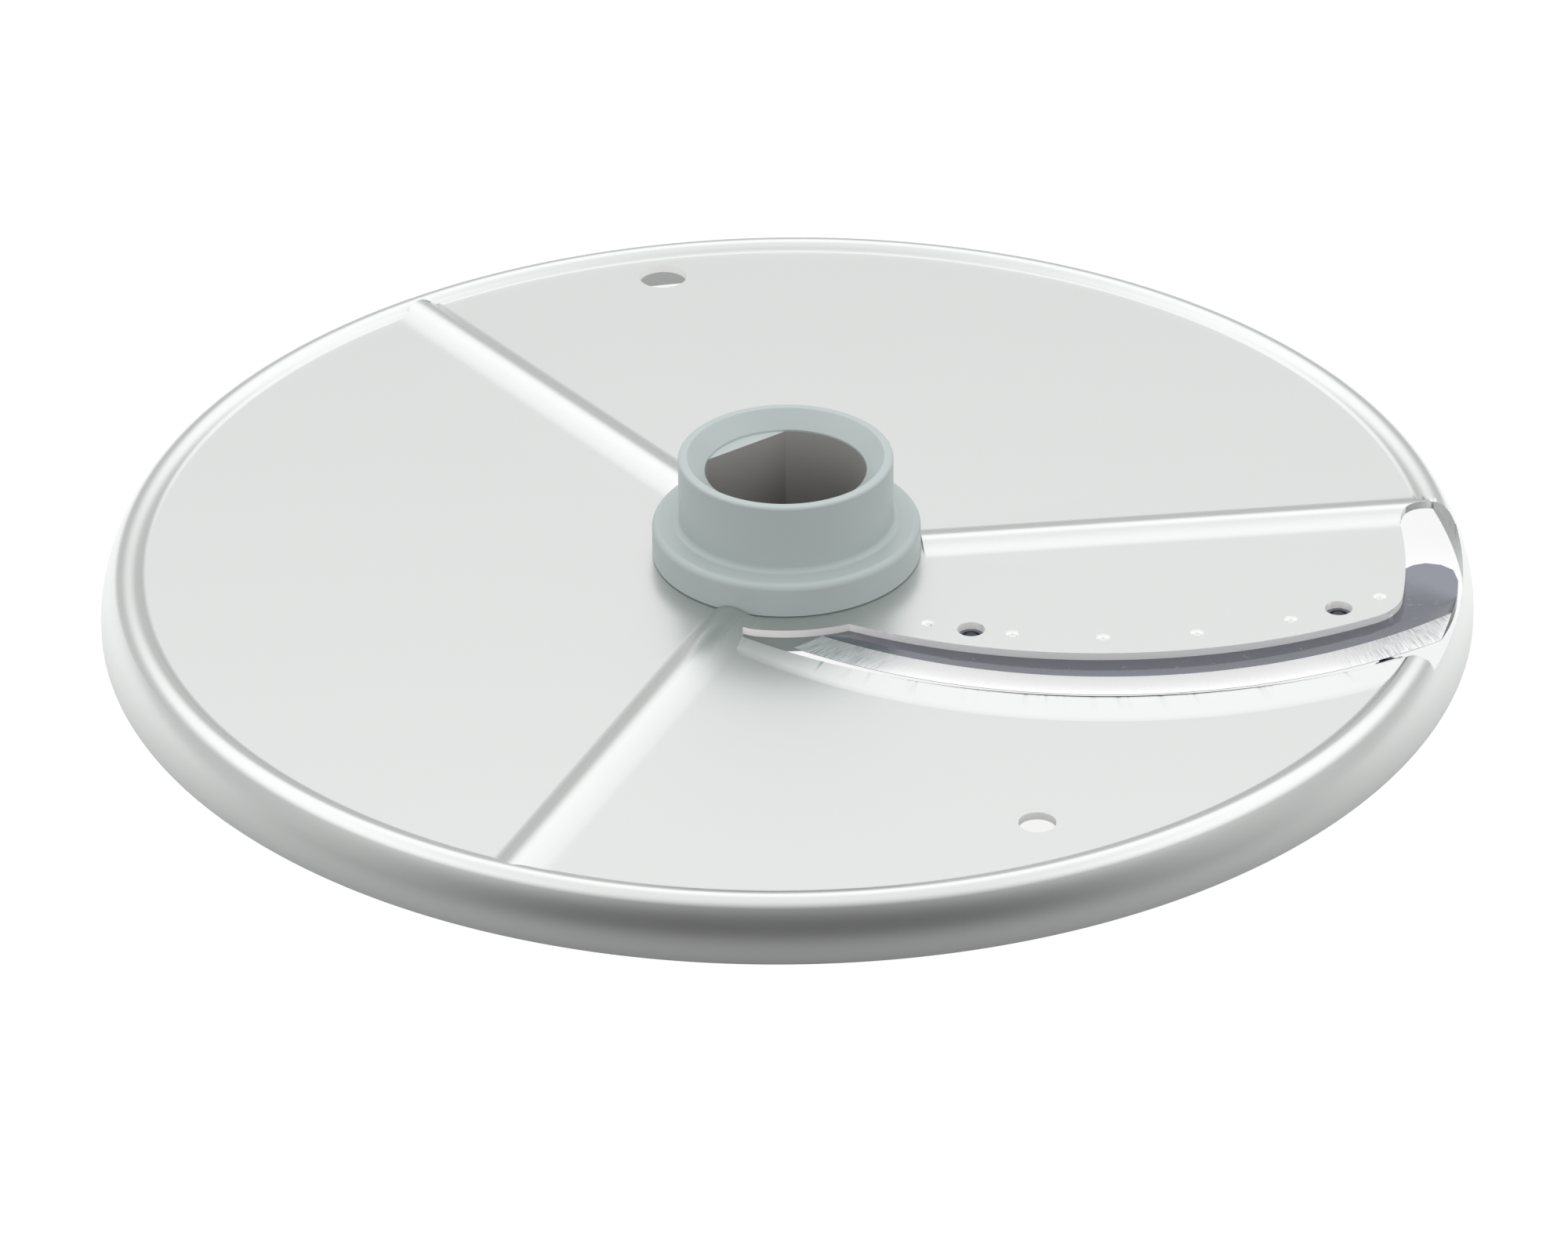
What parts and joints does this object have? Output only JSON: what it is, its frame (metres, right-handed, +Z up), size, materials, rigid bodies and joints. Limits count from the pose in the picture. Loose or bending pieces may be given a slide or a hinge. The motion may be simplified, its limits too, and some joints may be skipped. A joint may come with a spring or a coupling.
{
  "type": "food processor slicing disc",
  "caption": "Round pressed steel slicing disc with a rolled rim, radial ribs, a curved blade over a slot and a keyed plastic drive hub.",
  "frame": {"origin": "on the spin axis, in the plane of the skirt's lower edge", "axes": "+Z up along the spin axis, out of the hub's open top; +Y to the rear of the picture, +X to its right, on the side of the blade"},
  "size_m": [0.175, 0.175, 0.0205],
  "materials": {
    "plate_steel": "fine satin grain, smoother on the ribs and bead",
    "blade_steel": "polished flat with a ground bevel",
    "hub_plastic": "moulded grey plastic with a slight sheen"
  },
  "bodies": {
    "root": {"disc_plate": "plate_steel", "slicing_blade": "blade_steel", "hub": "hub_plastic"}
  },
  "joints": []
}
